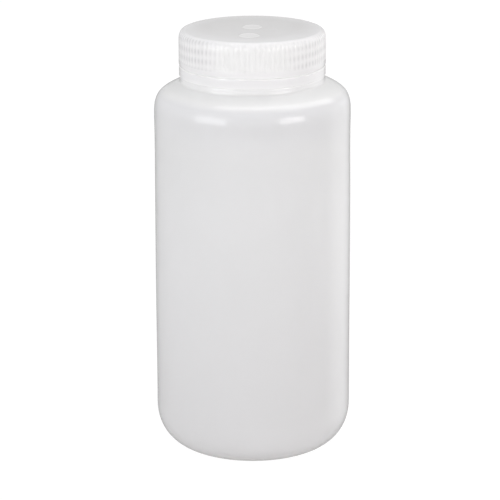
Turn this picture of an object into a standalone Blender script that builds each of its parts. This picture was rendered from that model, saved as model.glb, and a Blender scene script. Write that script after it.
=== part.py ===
"""A one-litre wide-mouth plastic reagent bottle with its screw cap and the seal disc inside the cap.

Metres, +Z up. The origin is on the bottle's axis, on the plane that the bottle stands on.
"""

import math

import bmesh
import bpy
from mathutils import Matrix

MM = 0.001

# Bottle, millimetres
BODY_RADIUS = 45.7
WALL = 1.5
PUSH_UP = 3.2
PUSH_UP_DOME = 0.6
PUSH_UP_SLOPE = 3.0
FOOT_INNER_RADIUS = 20.5
HEEL_REACH = 19.8
HEEL_HEIGHT = 20.6
HEEL_POWER = 2.19
SHOULDER_START = 151.7
SHOULDER_RADIUS = 45.58
SHOULDER_END = 176.2
SHOULDER_WALL_HANDLE = 18.7
SHOULDER_NECK_HANDLE_OUT = 12.9
SHOULDER_NECK_HANDLE_DOWN = 6.0
NECK_ROOT_RADIUS = 33.8
NECK_WAIST = 0.5
INNER_NECK_TAPER = 3.5
RING_RADIUS = 33.85
RING_HEIGHT = 181.1
RING_HALF = 2.6
RING_ROUNDING = 1.0
FINISH_RADIUS = 30.0
BORE_RADIUS = 28.0
RIM_HEIGHT = 196.8
RIM_CHAMFER = 0.5

# Thread: six turns to the inch, right-handed
PITCH = 25.4 / 6
THREAD_TURNS = 1.5
THREAD_START_ANGLE = -150.0
THREAD_START_HEIGHT = 187.6
THREAD_DEPTH = 1.2
THREAD_ROOT_WIDTH = 2.2
THREAD_CREST_WIDTH = 0.6
THREAD_RUN_OUT = 30.0
THREAD_ROOTED = 0.6
THREAD_SUNK_END = 0.15
THREAD_CLEARANCE = 0.5
FLANK_OFFSET = 1.45

# Cap, millimetres
CAP_BOTTOM = 184.05
CAP_TOP = 200.2
CAP_RADIUS = 33.95
CAP_BORE = 31.6
CAP_TOP_THICKNESS = 1.8
CAP_CORNER = 2.9
CAP_CHAMFER = 0.8
BAND_HEIGHT = 2.6
RIB_COUNT = 90
RIB_HEIGHT = 0.45
RIB_WIDTH = 1.3
RIB_TOP = 198.0
RIB_ROOTED = 0.4
RIB_SIDES = 8
MOUTH_FLARE = 0.6

# Seal disc, millimetres
LINER_RADIUS = 31.2
LINER_THICKNESS = 1.0
TOUCH_GAP = 0.3

BOTTLE_STEPS = 48
CAP_STEPS = 90
BORE_STEPS = 60

MILKY = (0.80, 0.81, 0.81)
CLEAR_WHITE = (0.86, 0.86, 0.85)
FOAM_WHITE = (0.88, 0.88, 0.86)


def clear_scene():
    for obj in list(bpy.data.objects):
        bpy.data.objects.remove(obj, do_unlink=True)


def new_collection(name):
    collection = bpy.data.collections.new(name)
    bpy.context.scene.collection.children.link(collection)
    return collection


def plastic(name, colour, roughness):
    material = bpy.data.materials.new(name)
    material.use_nodes = True
    shader = material.node_tree.nodes["Principled BSDF"]
    shader.inputs["Base Color"].default_value = (*colour, 1.0)
    shader.inputs["Roughness"].default_value = roughness
    shader.inputs["Metallic"].default_value = 0.0
    return material


def add_object(name, mesh, collection, material=None):
    obj = bpy.data.objects.new(name, mesh)
    collection.objects.link(obj)
    if material:
        mesh.materials.append(material)
    return obj


def as_helper(obj):
    obj.hide_render = True
    obj.display_type = "WIRE"
    return obj


def turned(name, profile, steps, collection, material=None):
    """A solid of revolution. The profile's (radius, height) points run down its outer side."""
    mesh = bpy.data.meshes.new(name)
    points = [(radius * MM, 0.0, height * MM) for radius, height in profile]
    mesh.from_pydata(points, [(i, i + 1) for i in range(len(points) - 1)], [])
    obj = add_object(name, mesh, collection, material)
    screw = obj.modifiers.new("Turn", "SCREW")
    screw.axis = "Z"
    screw.steps = steps
    screw.render_steps = steps
    screw.use_merge_vertices = True
    screw.merge_threshold = 0.00001
    screw.use_smooth_shade = True
    return obj


def boolean(obj, operation, other):
    modifier = obj.modifiers.new(other.name, "BOOLEAN")
    modifier.operation = operation
    modifier.solver = "EXACT"
    modifier.object = other


def bezier(start, start_handle, end_handle, end, count):
    points = []
    for i in range(count):
        t = i / (count - 1)
        weights = ((1 - t) ** 3, 3 * t * (1 - t) ** 2, 3 * t * t * (1 - t), t**3)
        controls = (start, start_handle, end_handle, end)
        points.append(tuple(sum(w * c[k] for w, c in zip(weights, controls)) for k in (0, 1)))
    return points


def arc(centre_radius, centre_height, across, up, first, last, count):
    """Points on an ellipse about a centre, from one angle in degrees to another."""
    points = []
    for i in range(count):
        angle = math.radians(first + (last - first) * i / (count - 1))
        points.append((centre_radius + across * math.cos(angle), centre_height + up * math.sin(angle)))
    return points


def heel(inset, count):
    """The rounded corner between wall and foot, running down and in, moved inwards by inset."""
    points = []
    for i in range(count):
        angle = math.radians(90 * i / (count - 1))
        across = (HEEL_REACH - inset) * math.cos(angle) ** (2 / HEEL_POWER)
        down = (HEEL_HEIGHT - inset) * math.sin(angle) ** (2 / HEEL_POWER)
        points.append((BODY_RADIUS - HEEL_REACH + across, HEEL_HEIGHT - down))
    return points


def shoulder(inset, count):
    """The curve from the neck's root out and down to the wall, moved inwards by inset."""
    root = NECK_ROOT_RADIUS - inset
    wall = SHOULDER_RADIUS - inset
    end = SHOULDER_END - inset
    return bezier(
        (root, end),
        (root + SHOULDER_NECK_HANDLE_OUT, end - SHOULDER_NECK_HANDLE_DOWN),
        (wall, SHOULDER_START + SHOULDER_WALL_HANDLE - inset),
        (wall, SHOULDER_START),
        count,
    )


def bottle_profile():
    """From the middle of the floor up the inside, over the rim, down the outside and under the foot."""
    push_up_edge = FOOT_INNER_RADIUS - PUSH_UP_SLOPE
    floor = [
        (0.0, PUSH_UP + WALL),
        (push_up_edge, PUSH_UP + WALL - PUSH_UP_DOME),
        (FOOT_INNER_RADIUS, WALL),
    ]
    inner_neck = [
        (NECK_ROOT_RADIUS - INNER_NECK_TAPER, SHOULDER_END + 1.0),
        (BORE_RADIUS, RING_HEIGHT),
        (BORE_RADIUS, RIM_HEIGHT - RIM_CHAMFER),
    ]
    rim = [
        (BORE_RADIUS + RIM_CHAMFER, RIM_HEIGHT),
        (FINISH_RADIUS - RIM_CHAMFER, RIM_HEIGHT),
        (FINISH_RADIUS, RIM_HEIGHT - RIM_CHAMFER),
    ]
    ring = [(FINISH_RADIUS, RING_HEIGHT + RING_HALF + RIM_CHAMFER)]
    ring += arc(RING_RADIUS - RING_ROUNDING, RING_HEIGHT, RING_ROUNDING, RING_HALF, 90, -60, 7)
    waist = [
        (NECK_ROOT_RADIUS - NECK_WAIST, RING_HEIGHT - RING_HALF - NECK_WAIST),
        (NECK_ROOT_RADIUS - NECK_WAIST, SHOULDER_END + 1.0),
    ]
    foot = [(FOOT_INNER_RADIUS, 0.0), (push_up_edge, PUSH_UP - PUSH_UP_DOME), (0.0, PUSH_UP)]
    inside = floor + heel(WALL, 8)[::-1] + shoulder(WALL, 8)[::-1] + inner_neck
    return inside + rim + ring + waist + shoulder(0.0, 10) + heel(0.0, 10) + foot


def thread(name, wall_radius, crest_radius, height_offset, collection):
    """A helical ridge on a wall, rooted in it, whose ends run out into the wall.

    The section changes along the run-out, so it is lofted from one section to the next.
    """
    outwards = 1 if crest_radius > wall_radius else -1
    root = wall_radius - outwards * THREAD_ROOTED
    sunk_end = wall_radius - outwards * THREAD_SUNK_END
    count = round(THREAD_TURNS * BOTTLE_STEPS)
    sweep = THREAD_TURNS * 360
    mesh = bpy.data.meshes.new(name)
    shape = bmesh.new()
    rings = []
    for i in range(count + 1):
        turned_by = sweep * i / count
        angle = math.radians(THREAD_START_ANGLE + turned_by)
        height = THREAD_START_HEIGHT + height_offset + PITCH * turned_by / 360
        grown = min(1.0, turned_by / THREAD_RUN_OUT, (sweep - turned_by) / THREAD_RUN_OUT)
        crest = sunk_end + (crest_radius - sunk_end) * grown
        section = (
            (root, -THREAD_ROOT_WIDTH / 2),
            (crest, -THREAD_CREST_WIDTH / 2),
            (crest, THREAD_CREST_WIDTH / 2),
            (root, THREAD_ROOT_WIDTH / 2),
        )
        ring = []
        for radius, rise in section:
            place = (radius * math.cos(angle), radius * math.sin(angle), height + rise)
            ring.append(shape.verts.new([value * MM for value in place]))
        rings.append(ring)
    for ring, following in zip(rings, rings[1:]):
        for i in range(4):
            j = (i + 1) % 4
            shape.faces.new((ring[i], ring[j], following[j], following[i]))
    shape.faces.new(rings[0])
    shape.faces.new(rings[-1])
    bmesh.ops.recalc_face_normals(shape, faces=shape.faces)
    shape.to_mesh(mesh)
    shape.free()
    return as_helper(add_object(name, mesh, collection))


def make_bottle(parts, helpers):
    milky_plastic = plastic("bottle", MILKY, 0.4)
    bottle = turned("bottle", bottle_profile(), BOTTLE_STEPS, parts, milky_plastic)
    neck_thread = thread("neck_thread", FINISH_RADIUS, FINISH_RADIUS + THREAD_DEPTH, 0.0, helpers)
    boolean(bottle, "UNION", neck_thread)


def grip_ribs(helpers):
    """All the ribs of the cap's grip: one upright bar, arrayed about the axis."""
    bottom = CAP_BOTTOM + CAP_CHAMFER + RIB_ROOTED
    mesh = bpy.data.meshes.new("grip_ribs")
    shape = bmesh.new()
    bmesh.ops.create_cone(
        shape,
        cap_ends=True,
        segments=RIB_SIDES,
        radius1=RIB_WIDTH / 2 * MM,
        radius2=RIB_WIDTH / 2 * MM,
        depth=(RIB_TOP - bottom) * MM,
    )
    offset = (CAP_RADIUS - RIB_WIDTH / 2) * MM
    bmesh.ops.translate(shape, verts=shape.verts, vec=(offset, 0.0, (RIB_TOP + bottom) / 2 * MM))
    half_facet = math.radians(180 / RIB_COUNT)
    bmesh.ops.rotate(shape, verts=shape.verts, matrix=Matrix.Rotation(half_facet, 3, "Z"))
    shape.to_mesh(mesh)
    shape.free()
    ribs = as_helper(add_object("grip_ribs", mesh, helpers))
    step = bpy.data.objects.new("rib_step", None)
    step.rotation_euler = (0.0, 0.0, math.radians(360 / RIB_COUNT))
    helpers.objects.link(step)
    array = ribs.modifiers.new("Around", "ARRAY")
    array.count = RIB_COUNT
    array.use_relative_offset = False
    array.use_object_offset = True
    array.offset_object = step
    return ribs


def cap_profile():
    root = CAP_RADIUS - RIB_HEIGHT
    band_top = CAP_BOTTOM + BAND_HEIGHT
    edge = arc(root - CAP_CORNER, CAP_TOP - CAP_CORNER, CAP_CORNER, CAP_CORNER, 90, 0, 5)
    band = [
        (root, band_top + RIB_HEIGHT),
        (CAP_RADIUS, band_top),
        (CAP_RADIUS, CAP_BOTTOM + CAP_CHAMFER),
        (CAP_RADIUS - CAP_CHAMFER, CAP_BOTTOM),
    ]
    return [(0.0, CAP_TOP)] + edge + band + [(0.0, CAP_BOTTOM)]


def cavity_profile():
    ceiling = CAP_TOP - CAP_TOP_THICKNESS
    below = CAP_BOTTOM - MOUTH_FLARE
    return [
        (0.0, ceiling),
        (CAP_BORE, ceiling),
        (CAP_BORE, CAP_BOTTOM + MOUTH_FLARE),
        (CAP_BORE + 2 * MOUTH_FLARE, below),
        (0.0, below),
    ]


def make_cap(parts, helpers):
    cap = turned("cap", cap_profile(), CAP_STEPS, parts, plastic("cap", CLEAR_WHITE, 0.35))
    boolean(cap, "UNION", grip_ribs(helpers))
    cavity = as_helper(turned("cap_cavity", cavity_profile(), BORE_STEPS, helpers))
    boolean(cap, "DIFFERENCE", cavity)
    crest_radius = FINISH_RADIUS + THREAD_CLEARANCE
    boolean(cap, "UNION", thread("cap_thread", CAP_BORE, crest_radius, -FLANK_OFFSET, helpers))


def make_liner(parts):
    top = CAP_TOP - CAP_TOP_THICKNESS - TOUCH_GAP
    bottom = top - LINER_THICKNESS
    profile = [(0.0, top), (LINER_RADIUS, top), (LINER_RADIUS, bottom), (0.0, bottom)]
    turned("cap_liner", profile, BORE_STEPS, parts, plastic("cap_liner", FOAM_WHITE, 0.6))


clear_scene()
PARTS = new_collection("reagent_bottle")
HELPERS = new_collection("cutters")
make_bottle(PARTS, HELPERS)
make_cap(PARTS, HELPERS)
make_liner(PARTS)
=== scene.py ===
"""Looks of the one-litre wide-mouth plastic reagent bottle. Metres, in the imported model's frame."""

import math

import bpy
import numpy as np
from mathutils import Matrix, Vector


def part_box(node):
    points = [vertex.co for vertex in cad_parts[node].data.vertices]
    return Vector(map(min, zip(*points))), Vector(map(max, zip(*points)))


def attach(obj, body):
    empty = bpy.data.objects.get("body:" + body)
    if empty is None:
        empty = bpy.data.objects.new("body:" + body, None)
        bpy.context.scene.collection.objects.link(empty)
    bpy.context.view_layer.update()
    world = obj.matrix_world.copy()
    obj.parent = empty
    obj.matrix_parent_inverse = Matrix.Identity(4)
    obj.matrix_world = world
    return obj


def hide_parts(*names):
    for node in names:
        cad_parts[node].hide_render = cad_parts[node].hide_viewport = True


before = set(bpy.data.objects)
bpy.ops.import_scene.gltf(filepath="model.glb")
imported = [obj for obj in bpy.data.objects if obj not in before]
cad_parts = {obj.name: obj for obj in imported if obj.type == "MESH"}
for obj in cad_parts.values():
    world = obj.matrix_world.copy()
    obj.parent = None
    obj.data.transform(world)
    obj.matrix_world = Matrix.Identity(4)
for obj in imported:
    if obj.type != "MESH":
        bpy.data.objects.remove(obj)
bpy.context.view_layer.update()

MM = 0.001
BOTTLE_LOW, BOTTLE_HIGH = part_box("bottle")
CAP_LOW, CAP_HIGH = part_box("cap")
LINER_LOW, LINER_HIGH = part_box("cap_liner")

# Foot, heel and wall
BODY_RADIUS = (BOTTLE_HIGH.x - BOTTLE_LOW.x) / 2
WALL = 1.5 * MM
PUSH_UP = 3.2 * MM
PUSH_UP_EDGE = 16.5 * MM
FOOT_INNER = 20.5 * MM
HEEL_REACH = 19.8 * MM
HEEL_HEIGHT = 20.6 * MM
HEEL_POWER = 2.19

# Shoulder: a curve with one handle straight up from the wall and one out and down from the neck's root
SHOULDER_START = 151.7 * MM
SHOULDER_RADIUS = BODY_RADIUS - 0.12 * MM
SHOULDER_END = 176.2 * MM
SHOULDER_RISE = 18.7 * MM
SHOULDER_SPREAD = 12.9 * MM
SHOULDER_DROP = 6.0 * MM
NECK_ROOT = 33.8 * MM
FILLET_REACH = 34.6 * MM
FILLET_HEIGHT = 176.6 * MM

# Neck below the cap, from the bottom up: flare, bead, groove and ring
NECK_FLARE = 33.62 * MM
FLARE_HEIGHT = 177.45 * MM
NECK_BEAD = 33.44 * MM
BEAD_HEIGHT = 178.15 * MM
NECK_GROOVE = 33.28 * MM
GROOVE_HEIGHT = 178.95 * MM
RING_RADIUS = 33.85 * MM
RING_FOOT = 179.4 * MM
PARTING_HEIGHT = 181.15 * MM
RING_SIDE = 182.6 * MM
RING_TOP = 183.84 * MM
RING_ROUNDING = 0.36 * MM

# Neck inside the cap
LEDGE_TOP = 184.2 * MM
LEDGE_WIDTH = 2.3 * MM
FINISH_RADIUS = 30.0 * MM
BORE_RADIUS = 28.0 * MM
RIM_HEIGHT = BOTTLE_HIGH.z
RIM_INNER_ROUNDING = 0.6 * MM
RIM_OUTER_ROUNDING = 0.5 * MM

# Thread of neck and cap
PITCH = 25.4 / 6 * MM
THREAD_TURNS = 1.5
THREAD_ANGLE = math.radians(-150.0)
THREAD_HEIGHT = 187.6 * MM
THREAD_DEPTH = 1.2 * MM
THREAD_ROOT_WIDTH = 2.2 * MM
THREAD_CREST_WIDTH = 0.6 * MM
THREAD_GAP = 0.5 * MM
THREAD_SOFTNESS = 0.35
RUN_OUT = math.radians(30.0)
FLANK_OFFSET = 1.45 * MM

# Unevenness of the blown bottle. A ring wave is how many go round and where they start
FLASH_WIDTH = 0.16 * MM
FLASH_HEIGHT = 0.04 * MM
RING_WAVES = ((3, 0.4), (7, 1.9), (13, 0.7), (23, 2.6), (41, 4.0))
RING_WAVE_HEIGHT = 0.05 * MM
SHOULDER_TILT = 0.33 * MM
WAIST_HEIGHT = 144 * MM
WAIST_SPREAD = 12 * MM
WAIST_DEPTH = 0.10 * MM
SEAM_WIDTH = 0.22 * MM
SEAM_HEIGHT = 0.05 * MM

# Cap
CAP_RADIUS = (CAP_HIGH.x - CAP_LOW.x) / 2
CAP_BORE_RADIUS = 31.6 * MM
BORE_CHAMFER = 0.7 * MM
CEILING = LINER_HIGH.z + 0.3 * MM
CEILING_ROUNDING = 0.6 * MM
CORNER = 2.9 * MM
LEAN = 0.17 * MM
LEAN_ANGLE = math.radians(10)
LEAN_START = CAP_HIGH.z - 5.0 * MM
FLAT_RADIUS = CAP_RADIUS - CORNER - LEAN
SKIRT_END = CAP_LOW.z - 0.15 * MM
EDGE_REACH = 0.36 * MM
EDGE_HEIGHT = 1.3 * MM
BAND_TOP = CAP_LOW.z + 2.7 * MM
RIB_COUNT = 90
RIB_DEPTH = 0.21 * MM
RIB_FLAT_SHARE = 0.35

# Round marks on the cap's top: x, y and radius
MARKS = ((0.0, 4.8 * MM, 4.7 * MM), (-1.4 * MM, -14.8 * MM, 4.9 * MM))
MARK_HEIGHT = 0.14 * MM
MARK_DISH = 0.55
PAST_MARKS = 20.4 * MM

# Seal disc
LINER_EDGE = 0.25 * MM
LINER_DENT_DEPTH = 0.12 * MM
LINER_DENT_WIDTH = 0.8 * MM

# How far round the ring's and the cap's lower edges turn, and the least angle that is shaded as sharp
EDGE_SWEEP = math.radians(52)
SHARP_ANGLE = math.radians(50)

# How many columns go round each piece
BOTTLE_SEGMENTS = 248
CAP_SEGMENTS = RIB_COUNT * 7
LINER_SEGMENTS = 180


def ramp(value, low, high):
    """0 below low, 1 above high, and smooth between them."""
    t = np.clip((value - low) / (high - low), 0.0, 1.0)
    return t * t * (3 - 2 * t)


def bell(away, width):
    """1 where away is 0, and smoothly down to nothing about two widths off."""
    return np.exp(-((away / width) ** 2))


def line(start, end, count):
    """Points from start to end, without start."""
    return [tuple(np.array(start) + (np.array(end) - start) * i / count) for i in range(1, count + 1)]


def arc(centre, across, up, first, last, count):
    """Points on an ellipse about centre, from the first to the last angle in degrees."""
    angles = np.radians(np.linspace(first, last, count))
    return [(centre[0] + across * math.cos(a), centre[1] + up * math.sin(a)) for a in angles]


def rounded_edge(start, inwards, along):
    """From the upright side at start, inwards and along, ending well before it is flat."""
    across, up = inwards / (1 - math.cos(EDGE_SWEEP)), along / math.sin(EDGE_SWEEP)
    return arc((start[0] - across, start[1]), across, up, 0, math.degrees(EDGE_SWEEP), 12)


def bezier(controls, count):
    """Points on the cubic curve of four controls, both ends among them."""
    points = []
    for t in np.linspace(0, 1, count):
        weights = ((1 - t) ** 3, 3 * t * (1 - t) ** 2, 3 * t * t * (1 - t), t**3)
        points.append(tuple(sum(w * c[k] for w, c in zip(weights, controls)) for k in (0, 1)))
    return points


def turned_mesh(name, profile, segments, shape):
    """A closed solid of revolution whose profile starts and ends on the axis.

    shape(radius, height, angle) gives the final radius and height of every point, so ribs, threads and
    raised marks are part of the one surface.
    """
    rows = np.array(profile)
    angles = np.arange(segments) * 2 * math.pi / segments
    radius, angle = np.meshgrid(rows[1:-1, 0], angles, indexing="ij")
    height = np.meshgrid(rows[1:-1, 1], angles, indexing="ij")[0]
    radius, height = shape(radius, height, angle)
    ring_points = np.stack([radius * np.cos(angle), radius * np.sin(angle), height], -1).reshape(-1, 3)
    points = np.vstack([ring_points, [[0, 0, rows[0, 1]], [0, 0, rows[-1, 1]]]])
    first, last = len(ring_points), len(ring_points) + 1
    index = np.arange(len(ring_points)).reshape(radius.shape)
    turned = np.roll(index, -1, axis=1)
    quads = np.stack([index[:-1], index[1:], turned[1:], turned[:-1]], -1).reshape(-1, 4)
    start_fan = [(first, int(a), int(b)) for a, b in zip(index[0], turned[0])]
    end_fan = [(last, int(b), int(a)) for a, b in zip(index[-1], turned[-1])]
    mesh = bpy.data.meshes.new(name)
    mesh.from_pydata(points.tolist(), [], quads.tolist() + start_fan + end_fan)
    mesh.shade_smooth()
    mesh.set_sharp_from_angle(angle=SHARP_ANGLE)
    return mesh


def thread_ridge(height, angle, offset):
    """How much of the thread's full depth stands at each place: 0 on the plain wall and 1 on the crest."""
    depth = np.zeros_like(height)
    sweep = THREAD_TURNS * 2 * math.pi
    for turn in range(-1, int(THREAD_TURNS) + 2):
        along = (angle - THREAD_ANGLE) % (2 * math.pi) + turn * 2 * math.pi
        centre = THREAD_HEIGHT + offset + PITCH * along / (2 * math.pi)
        away = np.abs(height - centre)
        flank = (THREAD_ROOT_WIDTH / 2 - away) / (THREAD_ROOT_WIDTH / 2 - THREAD_CREST_WIDTH / 2)
        grown = np.clip(np.minimum(along, sweep - along) / RUN_OUT, 0, 1)
        depth = np.maximum(depth, np.clip(flank, 0, 1) * grown)
    return ramp(depth, 0.0, 1.0) * THREAD_SOFTNESS + depth * (1 - THREAD_SOFTNESS)


# ---------------------------------------------------------------- bottle


def heel(inset, count):
    """The heel from the foot's edge up to the wall, moved inwards by inset."""
    points = []
    for a in np.radians(np.linspace(90, 0, count)):
        across = (HEEL_REACH - inset) * math.cos(a) ** (2 / HEEL_POWER)
        down = (HEEL_HEIGHT - inset) * math.sin(a) ** (2 / HEEL_POWER)
        points.append((BODY_RADIUS - HEEL_REACH + across, HEEL_HEIGHT - down))
    return points


def shoulder(inset, count):
    """The shoulder from the wall up and in to the neck's root, moved inwards by inset."""
    controls = (
        (SHOULDER_RADIUS - inset, SHOULDER_START),
        (SHOULDER_RADIUS - inset, SHOULDER_START + SHOULDER_RISE - inset),
        (NECK_ROOT + SHOULDER_SPREAD - inset, SHOULDER_END - SHOULDER_DROP - inset),
        (NECK_ROOT - inset, SHOULDER_END - inset),
    )
    return bezier(controls, count)


def inside_points():
    """From the floor's middle out, up the wall, in under the shoulder and up the bore."""
    middle = (0.0, PUSH_UP + WALL)
    points = [middle] + line(middle, (PUSH_UP_EDGE, PUSH_UP + WALL - 0.7 * MM), 8)
    points += heel(WALL, 20)
    points += line(points[-1], (BODY_RADIUS - WALL, SHOULDER_START), 12)
    points += shoulder(WALL, 20)[1:]
    root, bore_start = points[-1], (BORE_RADIUS, PARTING_HEIGHT)
    handles = ((root[0] - 2.5 * MM, root[1] + 1.2 * MM), (BORE_RADIUS, PARTING_HEIGHT - 3 * MM))
    points += bezier((root, *handles, bore_start), 16)[1:]
    return points + line(bore_start, (BORE_RADIUS, RIM_HEIGHT - RIM_INNER_ROUNDING), 6)


def finish_points():
    """Over the rim, down the threaded outside of the neck and out along the ledge on the ring."""
    inner, outer = RIM_INNER_ROUNDING, RIM_OUTER_ROUNDING
    points = arc((BORE_RADIUS + inner, RIM_HEIGHT - inner), inner, inner, 180, 90, 5)[1:]
    points += arc((FINISH_RADIUS - outer, RIM_HEIGHT - outer), outer, outer, 90, 0, 5)
    ledge = (FINISH_RADIUS, LEDGE_TOP)
    points += line((FINISH_RADIUS, RIM_HEIGHT - outer), ledge, 64)
    return points + line(ledge, (FINISH_RADIUS + LEDGE_WIDTH, RING_TOP + 0.06 * MM), 4)


def ring_points():
    """Down the ring's side, in to the groove and over the bead to the flare."""
    foot, groove, bead = (RING_RADIUS, RING_FOOT), (NECK_GROOVE, GROOVE_HEIGHT), (NECK_BEAD, BEAD_HEIGHT)
    points = rounded_edge((RING_RADIUS, RING_SIDE), RING_ROUNDING, RING_TOP - RING_SIDE)[::-1]
    points += line(points[-1], foot, 18)
    third = (GROOVE_HEIGHT - BEAD_HEIGHT) / 3
    handles = ((RING_RADIUS, RING_FOOT - third), (NECK_GROOVE, GROOVE_HEIGHT + third))
    points += bezier((foot, *handles, groove), 10)[1:]
    points += line(groove, bead, 6) + line(bead, (NECK_BEAD - 0.02 * MM, FLARE_HEIGHT), 3)
    return points + line(points[-1], (NECK_FLARE, FILLET_HEIGHT), 5)


def outside_points(start):
    """From the flare out over the shoulder, down the wall and round the heel."""
    points = [point for point in shoulder(0.0, 72)[::-1] if point[0] > FILLET_REACH]
    root, following = np.array(points[0]), np.array(points[1])
    along = (root - following) / np.linalg.norm(root - following)
    handles = ((NECK_FLARE + 0.12 * MM, FILLET_HEIGHT - 0.5 * MM), root + along * 0.5 * MM)
    fillet = bezier((start, *handles, root), 18)[1:-1]
    points += line(points[-1], (BODY_RADIUS, HEEL_HEIGHT), 28)[:-1]
    return fillet + points + heel(0.0, 44)[::-1]


def foot_points(start):
    """In along the ring that the bottle stands on, and up into the push-up under its middle."""
    stand, push_up = (FOOT_INNER + 1.0 * MM, 0.0), (PUSH_UP_EDGE, PUSH_UP - 0.5 * MM)
    handles = ((FOOT_INNER - 0.4 * MM, 0.0), (FOOT_INNER - 1.6 * MM, PUSH_UP - 0.7 * MM))
    points = line(start, stand, 4) + bezier((stand, *handles, push_up), 12)[1:]
    return points + line(push_up, (0.0, PUSH_UP), 16)


def bottle_profile():
    """From the floor's middle inside, up the inside, over the rim, down the outside and in under the foot."""
    points = inside_points() + finish_points() + ring_points()
    points += outside_points(points[-1])
    return points + foot_points(points[-1])


def bottle_shape(radius, height, angle):
    """The neck's thread, the ring's lines, the shoulder's tilt, and the wall's waves and parting line."""
    on_finish = np.abs(radius - FINISH_RADIUS) < 0.05 * MM
    ridge = thread_ridge(height, angle, 0.0) * THREAD_DEPTH
    radius = np.where(on_finish, radius + ridge, radius)

    on_ring = (radius > NECK_GROOVE - 0.4 * MM) & (height > RING_FOOT) & (height < RING_TOP + 0.01 * MM)
    flash = bell(height - PARTING_HEIGHT, FLASH_WIDTH) * FLASH_HEIGHT
    uneven = sum(np.sin(count * angle + start) for count, start in RING_WAVES) / len(RING_WAVES)
    radius = np.where(on_ring, radius + flash, radius)
    height = np.where(on_ring, height + uneven * ramp(height, RING_SIDE, RING_TOP) * RING_WAVE_HEIGHT, height)

    tilted = ramp(height, 110 * MM, 150 * MM)
    tilted = tilted * (1 - ramp(height, BEAD_HEIGHT - 0.5 * MM, BEAD_HEIGHT + 2.5 * MM))
    height = height + tilted * np.cos(angle) * SHOULDER_TILT

    on_outside = radius > BODY_RADIUS - WALL / 2
    on_wall = ramp(height, 14 * MM, 30 * MM) * (1 - ramp(height, 150 * MM, 168 * MM)) * on_outside
    waist = bell(height - WAIST_HEIGHT, WAIST_SPREAD) * WAIST_DEPTH
    waves = np.sin(2 * angle + height * 41 + 1.1) * 0.05 * MM + np.sin(3 * angle - height * 67) * 0.03 * MM
    radius = radius - on_wall * (waist + waves)

    seam = bell(np.sin(angle) * radius, SEAM_WIDTH) * SEAM_HEIGHT
    radius = np.where((height > 0.4 * MM) & (radius > BODY_RADIUS - WALL / 2), radius + seam, radius)
    return radius, height


# ---------------------------------------------------------------- cap


def corner_points():
    """The cap's rounded upper edge, and the slight lean that carries it on down into the skirt."""
    points = arc((FLAT_RADIUS, CAP_HIGH.z - CORNER), CORNER, CORNER, 90, math.degrees(LEAN_ANGLE), 14)[1:]
    start, end = np.array(points[-1]), np.array((CAP_RADIUS, LEAN_START))
    drop = (CAP_RADIUS - start[0]) / math.tan(LEAN_ANGLE)
    met = np.array((CAP_RADIUS, start[1] - drop))
    handles = (start + (met - start) * 2 / 3, end + (met - end) * 2 / 3)
    return points + bezier((start, *handles, end), 8)[1:]


def cap_profile():
    """From the top's middle out, down the skirt, in under the edge, up the inside and in under the top."""
    middle, past_marks = (0.0, CAP_HIGH.z), (PAST_MARKS, CAP_HIGH.z)
    points = [middle] + line(middle, past_marks, 54) + line(past_marks, (FLAT_RADIUS, CAP_HIGH.z), 6)
    points += corner_points()
    ribs_end, edge_start = (CAP_RADIUS, BAND_TOP + 0.6 * MM), (CAP_RADIUS, SKIRT_END + EDGE_HEIGHT)
    points += line((CAP_RADIUS, LEAN_START), ribs_end, 4) + line(ribs_end, edge_start, 4)
    points += rounded_edge(edge_start, EDGE_REACH, -EDGE_HEIGHT)[1:]
    chamfer = (CAP_BORE_RADIUS + BORE_CHAMFER, SKIRT_END)
    bore_start, bore_end = SKIRT_END + BORE_CHAMFER, CEILING - CEILING_ROUNDING
    points += line(points[-1], chamfer, 2) + line(chamfer, (CAP_BORE_RADIUS, bore_start), 3)
    points += line((CAP_BORE_RADIUS, bore_start), (CAP_BORE_RADIUS, bore_end), 37)
    centre = (CAP_BORE_RADIUS - CEILING_ROUNDING, bore_end)
    points += arc(centre, CEILING_ROUNDING, CEILING_ROUNDING, 0, 90, 5)[1:]
    return points + line(points[-1], (0.0, CEILING), 10)


def cap_shape(radius, height, angle):
    """The grip's ribs, the two round marks on the top and the thread inside.

    The ribs' valleys mark the bore too, and the thread inside is broken there.
    """
    across = np.abs((angle * RIB_COUNT / (2 * math.pi)) % 1.0 - 0.5) * 2
    valley = ramp(across, RIB_FLAT_SHARE, 1.0) * RIB_DEPTH
    valley = valley * ramp(height, BAND_TOP, BAND_TOP + 0.5 * MM)
    valley = valley * (1 - ramp(height, CAP_HIGH.z - 1.3 * MM, CAP_HIGH.z - 0.15 * MM))
    radius = np.where(radius > FLAT_RADIUS, radius - valley, radius)

    x, y = radius * np.cos(angle), radius * np.sin(angle)
    on_top = height > CAP_HIGH.z - 0.1 * MM
    for mark_x, mark_y, mark_radius in MARKS:
        away = np.hypot(x - mark_x, y - mark_y) / mark_radius
        dish = (1 - ramp(away, 0.72, 0.84)) * MARK_DISH
        raised = (1 - ramp(away, 0.9, 1.02)) * (1 - dish)
        height = np.where(on_top, height + raised * MARK_HEIGHT, height)

    on_bore = np.abs(radius - CAP_BORE_RADIUS) < 0.02 * MM
    ridge = thread_ridge(height, angle, -FLANK_OFFSET) * (CAP_BORE_RADIUS - FINISH_RADIUS - THREAD_GAP)
    radius = np.where(on_bore, radius - ridge, radius)
    return radius, height


# ---------------------------------------------------------------- seal disc


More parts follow.
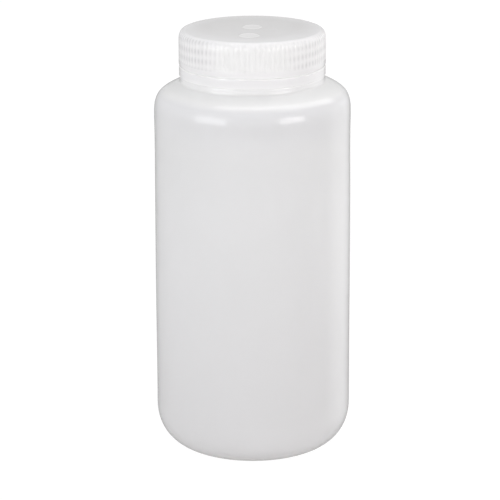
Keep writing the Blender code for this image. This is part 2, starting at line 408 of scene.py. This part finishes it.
def liner_profile():
    """From the middle of the top out, round both edges and in underneath."""
    low, high, flat = LINER_LOW.z, LINER_HIGH.z, LINER_HIGH.x - LINER_EDGE
    points = [(0.0, high)] + line((0.0, high), (flat, high), 8)
    points += arc((flat, high - LINER_EDGE), LINER_EDGE, LINER_EDGE, 90, 0, 4)[1:]
    points += arc((flat, low + LINER_EDGE), LINER_EDGE, LINER_EDGE, 0, -90, 4)
    return points + line((flat, low), (0.0, low), 24)


def liner_shape(radius, height, angle):
    """The ring that the rim has pressed into the underside."""
    underside = height < (LINER_LOW.z + LINER_HIGH.z) / 2
    from_rim = (radius - (BORE_RADIUS + FINISH_RADIUS) / 2) / LINER_DENT_WIDTH
    dent = np.exp(-(from_rim**4)) * LINER_DENT_DEPTH
    return radius, np.where(underside, height + dent, height)


# ---------------------------------------------------------------- materials

WHITE = (1.0, 1.0, 1.0, 1.0)

# How far light goes into the plastic, and much less far at the narrow gap between the cap and the ring
PLASTIC_DEPTH = 3.0 * MM
GAP_DEPTH = 0.1 * MM

# Painted shade and light on the bottle by height: its darker colour at the foot, then each colour that takes
# over as the height passes from the first to the second number: wall, heel lighter against its contact
# shadow, shoulder darker under the light above, neck's root lighter in its shade, neck and ring
FOOT_SHADE_COLOUR = (0.755, 0.750, 0.762)
PAINTED_BOTTLE_SHADING = (
    (15 * MM, 150 * MM, (0.858, 0.858, 0.876)),
    (7 * MM, 0.5 * MM, (0.97, 0.95, 0.94)),
    (148 * MM, 164 * MM, (0.79, 0.79, 0.807)),
    (170 * MM, 173.3 * MM, (0.96, 0.955, 0.965)),
    (176.8 * MM, 178.6 * MM, (0.885, 0.88, 0.89)),
    (179.5 * MM, 181.5 * MM, (0.855, 0.85, 0.86)),
)
UNDER_RING_HEIGHT = 179.15 * MM
UNDER_RING_LIGHT = (1.0, 0.995, 1.0)
RING_GAP_LIGHT = (1.0, 0.99, 0.99)

# Cap's colours, with painted shade on the top disc, darker at the back, and on the rounded corner
DISC_FRONT_SHADE = (0.845, 0.835, 0.84)
DISC_BACK_SHADE = (0.775, 0.765, 0.765)
SKIRT_COLOUR = (0.942, 0.935, 0.945)
CORNER_SHADE = (0.905, 0.898, 0.91)
CORNER_SHADE_BLEND = (196.5 * MM, 198.5 * MM)
FROST_LIGHT = 0.14

# Painted light and shade on the cap: between which heights, or distances sideways, and how much at each
EDGE_LIGHT = (184.2 * MM, 183.7 * MM, 0.0, 0.06)
SIDE_SHADE = (12 * MM, 27 * MM, 0.0, -0.04)
BAND_SHADE = (188.0 * MM, 185.0 * MM, 0.0, -0.07)

# The threads' shadow on the skirt: where it fades in and out, a height at the right where it is lightest, how
# many pitches it climbs in a turn, and how dark it is in the middle and at the sides
SHADOW_FOOT = (186.0 * MM, 186.7 * MM)
SHADOW_TOP = (199.9 * MM, 199.2 * MM)
SHADOW_HEIGHT = 195.45 * MM
SHADOW_SLOPE = 2.0
SHADOW_MIDDLE = 0.006
SHADOW_SIDES = 0.065

FOAM_COLOURS = ((0.80, 0.80, 0.78), (0.88, 0.88, 0.86))
FLOOR_COLOURS = ((0.80, 0.79, 0.78), (0.82, 0.81, 0.80))
FLOOR_GLOW = 1.06
FLOOR_GLOW_SHARE = 0.9


class Field:
    """A number that nodes work out at every point. Fields are added and multiplied as plain numbers are."""

    def __init__(self, nodes, socket):
        self.nodes = nodes
        self.socket = socket

    def __add__(self, other):
        return self.nodes.math("ADD", self, other)

    def __sub__(self, other):
        return self.nodes.math("SUBTRACT", self, other)

    def __rsub__(self, other):
        return self.nodes.math("SUBTRACT", other, self)

    def __mul__(self, other):
        return self.nodes.math("MULTIPLY", self, other)

    def __truediv__(self, other):
        return self.nodes.math("DIVIDE", self, other)

    def __abs__(self):
        return self.nodes.math("ABSOLUTE", self)


class Nodes:
    """Short ways to add and join the nodes of one material or world."""

    def __init__(self, owner):
        owner.use_nodes = True
        self.owner = owner
        self.tree = owner.node_tree
        self.place = self.add("ShaderNodeTexCoord")

    def plug(self, socket, value):
        """Join a field or another node's output to the socket, or set the socket's own value."""
        if isinstance(value, Field):
            value = value.socket
        if isinstance(value, bpy.types.NodeSocket):
            self.tree.links.new(value, socket)
        else:
            socket.default_value = value

    def set(self, node, **inputs):
        for name, value in inputs.items():
            self.plug(node.inputs[name.replace("_", " ")], value)

    def add(self, kind, **inputs):
        node = self.tree.nodes.new(kind)
        self.set(node, **inputs)
        return node

    def shader(self, **inputs):
        """The material's own shader, with these inputs set."""
        node = self.tree.nodes["Principled BSDF"]
        self.set(node, **inputs)
        return node

    def noise(self, scale, detail=2.0, stretch=(1, 1, 1)):
        mapped = self.add("ShaderNodeMapping", Vector=self.place.outputs["Object"], Scale=stretch)
        node = self.add("ShaderNodeTexNoise", Vector=mapped.outputs["Vector"], Scale=scale, Detail=detail)
        return Field(self, node.outputs["Fac"])

    def step(self, kind, value, low, high, start, end):
        node = self.add("ShaderNodeMapRange", Value=value, From_Min=low, From_Max=high)
        node.interpolation_type = kind
        self.set(node, To_Min=start, To_Max=end)
        return Field(self, node.outputs["Result"])

    def spread(self, noise, low, high):
        """A noise, which mostly keeps between 0.3 and 0.7, spread out from low to high."""
        return self.step("LINEAR", noise, 0.3, 0.7, low, high)

    def smooth(self, value, low, high, start=0.0, end=1.0):
        """A smooth step from start, where value is low, to end, where it is high."""
        return self.step("SMOOTHSTEP", value, low, high, start, end)

    def math(self, operation, first, second=0.0):
        node = self.add("ShaderNodeMath")
        node.operation = operation
        self.plug(node.inputs[0], first)
        self.plug(node.inputs[1], second)
        return Field(self, node.outputs[0])

    def mix(self, factor, first, second):
        """Between two colours, each of them a node's output or three numbers."""
        node = self.add("ShaderNodeMix")
        node.data_type = "RGBA"
        self.plug(node.inputs[0], factor)
        for socket, colour in ((node.inputs[6], first), (node.inputs[7], second)):
            self.plug(socket, (*colour, 1.0) if isinstance(colour, tuple) else colour)
        return node.outputs[2]

    def scaled(self, colour, factor):
        node = self.add("ShaderNodeVectorMath")
        node.operation = "SCALE"
        self.plug(node.inputs[0], colour)
        self.plug(node.inputs["Scale"], factor)
        return node.outputs[0]

    def along(self, vector, way):
        """How far the vector reaches the given way."""
        node = self.add("ShaderNodeVectorMath")
        node.operation = "DOT_PRODUCT"
        self.plug(node.inputs[0], vector)
        self.plug(node.inputs[1], way)
        return Field(self, node.outputs["Value"])

    def distance(self, x, y):
        return self.math("SQRT", x * x + y * y)

    def coordinates(self):
        """X, Y, Z and the distance from the axis."""
        node = self.add("ShaderNodeSeparateXYZ", Vector=self.place.outputs["Object"])
        x, y, z = (Field(self, node.outputs[name]) for name in "XYZ")
        return x, y, z, self.distance(x, y)

    def bump(self, height, strength, distance, **below):
        """Small relief, on top of another's Normal where one is given."""
        node = self.add("ShaderNodeBump", Height=height, Strength=strength, Distance=distance, **below)
        return node.outputs["Normal"]


def milky_plastic(nodes, colour, roughness, depth, waviness):
    """Natural, unpigmented plastic: light goes depth in, and the wall's thickness varies a little."""
    cloud = nodes.spread(nodes.noise(38.0, 3.0, (1, 1, 0.45)), 0.985, 1.0)
    rubbed = nodes.noise(160.0, 4.0, (1, 1, 0.5))
    waves = nodes.bump(nodes.noise(55.0, 2.0, (1, 1, 0.35)), waviness, 0.4 * MM)
    nodes.shader(
        Base_Color=nodes.scaled(colour, cloud),
        Subsurface_Weight=1.0,
        Subsurface_Radius=(1.0, 1.0, 1.0),
        Subsurface_Scale=depth,
        IOR=1.5,
        Roughness=nodes.spread(rubbed, roughness - 0.04, roughness + 0.04),
        Normal=nodes.bump(nodes.noise(2600.0, 2.0), 0.02, 0.02 * MM, Normal=waves),
    )
    return nodes.owner


def foam():
    """Closed-cell foam: matt, with fine pores."""
    nodes = Nodes(bpy.data.materials.new("seal_foam"))
    pores = nodes.noise(1800.0, 4.0)
    nodes.shader(
        Base_Color=nodes.mix(nodes.spread(pores, 0.0, 1.0), *FOAM_COLOURS),
        Roughness=nodes.spread(pores, 0.65, 0.8),
        Normal=nodes.bump(pores, 0.35, 0.08 * MM),
    )
    return nodes.owner


def floor_material():
    """A pale floor that the camera sees nearly white, as on a light table."""
    nodes = Nodes(bpy.data.materials.new("pale_floor"))
    fine = nodes.spread(nodes.noise(900.0, 3.0), 0.0, 1.0)
    shader = nodes.shader(
        Base_Color=nodes.mix(fine, *FLOOR_COLOURS),
        Roughness=0.9,
        Specular_IOR_Level=0.0,
        Emission_Color=WHITE,
        Emission_Strength=0.12,
    )
    glow = nodes.add("ShaderNodeEmission", Color=WHITE, Strength=FLOOR_GLOW)
    seen = Field(nodes, nodes.add("ShaderNodeLightPath").outputs["Is Camera Ray"])
    both = nodes.add("ShaderNodeMixShader")
    for socket, value in zip(both.inputs, (seen * FLOOR_GLOW_SHARE, shader.outputs[0], glow.outputs[0])):
        nodes.plug(socket, value)
    nodes.set(nodes.tree.nodes["Material Output"], Surface=both.outputs[0])
    nodes.owner.cycles.emission_sampling = "NONE"
    return nodes.owner


def bottle_material():
    """Painted shade, darker towards the foot, painted light and shade at each height, and painted light,
    near-white, under the ring and at its edge.
    """
    nodes = Nodes(bpy.data.materials.new("bottle_plastic"))
    z = nodes.coordinates()[2]
    # Painted shade darker towards the foot, then painted light and shade by height
    colour = FOOT_SHADE_COLOUR
    for low, high, zone in PAINTED_BOTTLE_SHADING:
        colour = nodes.mix(nodes.smooth(z, low, high), colour, zone)
    # Painted light in a thin line under the ring, where its foot is in shade
    under_ring_light = nodes.smooth(abs(z - UNDER_RING_HEIGHT), 0.45 * MM, 0.15 * MM)
    colour = nodes.mix(under_ring_light, colour, UNDER_RING_LIGHT)
    # Painted light, near-white with a wavy edge, on the ring's top and above it, in the narrow gap under the
    # cap
    uneven = nodes.spread(nodes.noise(130.0, 1.0, (1, 1, 0)), -0.4, 0.4) * MM
    above_ring_light = nodes.smooth(z + uneven, RING_TOP - 0.7 * MM, RING_TOP - 0.2 * MM)
    colour = nodes.mix(above_ring_light, colour, RING_GAP_LIGHT)
    depth = nodes.smooth(abs(z - RING_TOP), 0.5 * MM, 3.0 * MM, GAP_DEPTH, PLASTIC_DEPTH)
    return milky_plastic(nodes, colour, 0.10, depth, 0.04)


def skirt_shadow(nodes, x, y, z):
    """How much darker the skirt is where the threads behind it show through, most between the ribs."""
    turn = nodes.math("ARCTAN2", y, x) / (2 * math.pi)
    rib = nodes.math("COSINE", turn * (RIB_COUNT * 2 * math.pi))
    climb = (z - SHADOW_HEIGHT) / PITCH - turn * SHADOW_SLOPE - 0.5
    thread = nodes.math("COSINE", climb * (2 * math.pi)) + 1.0
    span = nodes.smooth(z, *SHADOW_FOOT) * nodes.smooth(z, *SHADOW_TOP)
    strength = nodes.smooth(abs(x) / CAP_RADIUS, 0.35, 0.75, SHADOW_MIDDLE, SHADOW_SIDES) * span
    return (rib * 0.45 + 0.75) * thread * strength


def cap_material():
    """Painted shade on the top disc, most at the back: the thin top lets more light through than the skirt,
    behind which the neck stands.
    """
    nodes = Nodes(bpy.data.materials.new("cap_plastic"))
    x, y, z, radius = nodes.coordinates()
    on_top = nodes.smooth(z, CAP_HIGH.z - 1.2 * MM, CAP_HIGH.z - 0.4 * MM)
    # Painted shade: the top disc darker than the skirt, and darker still at the back
    back = nodes.smooth(y, -25 * MM, 30 * MM)
    reach = radius - back * (6.0 * MM)
    disc = nodes.mix(back, DISC_FRONT_SHADE, DISC_BACK_SHADE)
    # Painted shade on the rounded corner, darker than the skirt below it
    skirt = nodes.mix(nodes.smooth(z, *CORNER_SHADE_BLEND), SKIRT_COLOUR, CORNER_SHADE)
    colour = nodes.mix(on_top * nodes.smooth(reach, 33.0 * MM, 17.0 * MM), skirt, disc)

    # Painted light along the skirt's lower edge over the ring's gap; painted shade on the skirt's sides and
    # lower band
    edge = nodes.smooth(z - nodes.noise(90.0, 1.0) * (0.8 * MM), *EDGE_LIGHT)
    shade = nodes.smooth(abs(x), *SIDE_SHADE) + nodes.smooth(z, *BAND_SHADE)
    lightness = edge + shade + 1.0 - skirt_shadow(nodes, x, y, z)

    rim = nodes.smooth(reach, 18.0 * MM, 27.0 * MM) * nodes.smooth(radius, 32.6 * MM, 31.4 * MM) * on_top
    depth = nodes.smooth(z, SKIRT_END + 0.5 * MM, SKIRT_END + 3.0 * MM, GAP_DEPTH, PLASTIC_DEPTH)
    depth = depth * (1.0 - rim * 0.6)
    for mark_x, mark_y, mark_radius in MARKS:
        away = nodes.distance(x - mark_x, y - mark_y) / mark_radius
        raised = nodes.smooth(away, 1.02, 0.92, 0.0, 0.8)
        dished = nodes.smooth(away, 0.74, 0.64, 0.0, -0.15)
        frost = (raised + dished) * on_top
        lightness = lightness + frost * FROST_LIGHT
        depth = depth * (1.0 - frost)
    return milky_plastic(nodes, nodes.scaled(colour, lightness), 0.13, depth, 0.01)


# ---------------------------------------------------------------- pieces


def add_piece(name, mesh, material, body, node):
    """A piece that rides on the body and is seen in place of the CAD node."""
    piece = bpy.data.objects.new(name, mesh)
    bpy.context.scene.collection.objects.link(piece)
    mesh.materials.append(material)
    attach(piece, body)
    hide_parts(node)


def make_pieces():
    bottle = turned_mesh("bottle_shell", bottle_profile(), BOTTLE_SEGMENTS, bottle_shape)
    add_piece("bottle_shell", bottle, bottle_material(), "bottle_body", "bottle")

    cap = turned_mesh("screw_cap_shell", cap_profile(), CAP_SEGMENTS, cap_shape)
    add_piece("screw_cap_shell", cap, cap_material(), "screw_cap", "cap")

    liner = turned_mesh("seal_disc_foam", liner_profile(), LINER_SEGMENTS, liner_shape)
    add_piece("seal_disc_foam", liner, foam(), "seal_disc", "cap_liner")


# ---------------------------------------------------------------- stage, light and camera

FLOOR_REACH = 6.0

TARGET = Vector((0.0, 0.0, 0.1))
CAMERA_PITCH = math.radians(16.2)
CAMERA_ROLL = math.radians(-0.18)
CAMERA_DISTANCE = 1.268
CAMERA_SIDE = -1.31 * MM
CAMERA_RISE = -5.45 * MM
FOCAL_LENGTH = 194.2
SENSOR_WIDTH = 36.0

# How bright the surroundings look, then a brighter and a darker patch: azimuth, elevation, the radii within
# which it is whole and beyond which it is gone, in degrees, and how much brighter it is
WORLD_BELOW = 0.36
WORLD_HORIZON = 0.56
WORLD_ZENITH = 0.72
WORLD_PATCHES = ((126, -5, 8, 33, 0.60), (3, 5, 8, 42, -0.18))

COOL = (0.985, 0.995, 1.01)
WARM = (1.02, 0.995, 0.99)
NEUTRAL = (1.0, 1.0, 1.0)


def direction(azimuth, elevation):
    """Unit vector from the object: azimuth 0 towards the camera, 90 to the right."""
    a, e = math.radians(azimuth), math.radians(elevation)
    return Vector((math.sin(a) * math.cos(e), -math.cos(a) * math.cos(e), math.sin(e)))


def soft_light(name, away, along, distance, width, height, radiance, colour):
    """A soft box that faces the object from away, its width lying along. radiance is how bright it looks."""
    data = bpy.data.lights.new(name, "AREA")
    data.shape = "RECTANGLE"
    data.size = width
    data.size_y = height
    data.energy = radiance * math.pi * width * height
    data.color = colour
    light = bpy.data.objects.new(name, data)
    bpy.context.scene.collection.objects.link(light)
    side = (along - away * along.dot(away)).normalized()
    axes = Matrix((side, away.cross(side), away)).transposed()
    light.matrix_world = Matrix.Translation(TARGET + away * distance) @ axes.to_4x4()


def make_stage():
    mesh = bpy.data.meshes.new("floor")
    corners = [(x * FLOOR_REACH, y * FLOOR_REACH, 0) for x, y in ((-1, -1), (1, -1), (1, 1), (-1, 1))]
    mesh.from_pydata(corners, [], [(0, 1, 2, 3)])
    mesh.materials.append(floor_material())
    floor = bpy.data.objects.new("floor", mesh)
    bpy.context.scene.collection.objects.link(floor)
    floor.visible_glossy = False


def make_world():
    """Even studio surroundings: darker below, brighter at the horizon and brightest overhead."""
    world = bpy.data.worlds.new("studio")
    nodes = Nodes(world)
    way = nodes.place.outputs["Generated"]
    height = nodes.add("ShaderNodeSeparateXYZ", Vector=way).outputs["Z"]
    light = nodes.smooth(height, -0.06, 0.04, WORLD_BELOW, WORLD_HORIZON)
    light = light + nodes.smooth(height, 0.2, 0.95, 0.0, WORLD_ZENITH - WORLD_HORIZON)
    for azimuth, elevation, inner, outer, extra in WORLD_PATCHES:
        near = nodes.along(way, direction(azimuth, elevation))
        gone, whole = math.cos(math.radians(outer)), math.cos(math.radians(inner))
        light = light + nodes.smooth(near, gone, whole, 0.0, extra)
    nodes.set(nodes.tree.nodes["Background"], Color=WHITE, Strength=light)
    bpy.context.scene.world = world


def make_lights():
    left, right = direction(-50, 13), direction(47, 13)
    above = Vector((0.02, 0.14, 1.0)).normalized()
    above_right = Vector((0.72, 0.50, 1.0)).normalized()
    soft_light("soft_box_left", left, direction(40, 0), 1.5, 0.95, 0.68, 3.2, COOL)
    soft_light("soft_box_right", right, direction(137, 0), 1.5, 0.84, 0.54, 3.85, WARM)
    soft_light("overhead_strip", above, Vector((1.0, 0.0, 0.0)), 1.4, 1.2, 0.46, 1.5, NEUTRAL)
    soft_light("overhead_right", above_right, Vector((0.55, 0.83, 0.0)), 1.9, 1.25, 0.7, 1.35, NEUTRAL)


def make_camera():
    data = bpy.data.cameras.new("camera")
    data.lens = FOCAL_LENGTH
    data.sensor_width = SENSOR_WIDTH
    camera = bpy.data.objects.new("camera", data)
    bpy.context.scene.collection.objects.link(camera)
    forward = Vector((0.0, math.cos(CAMERA_PITCH), -math.sin(CAMERA_PITCH)))
    right = Vector((1.0, 0.0, 0.0))
    up = right.cross(forward)
    axes = Matrix((right, up, -forward)).transposed()
    camera.matrix_world = (
        Matrix.Translation(TARGET - forward * CAMERA_DISTANCE + right * CAMERA_SIDE + up * CAMERA_RISE)
        @ axes.to_4x4()
        @ Matrix.Rotation(CAMERA_ROLL, 4, "Z")
    )
    bpy.context.scene.camera = camera


make_pieces()
make_stage()
make_world()
make_lights()
make_camera()
bpy.context.scene.view_settings.view_transform = "Standard"
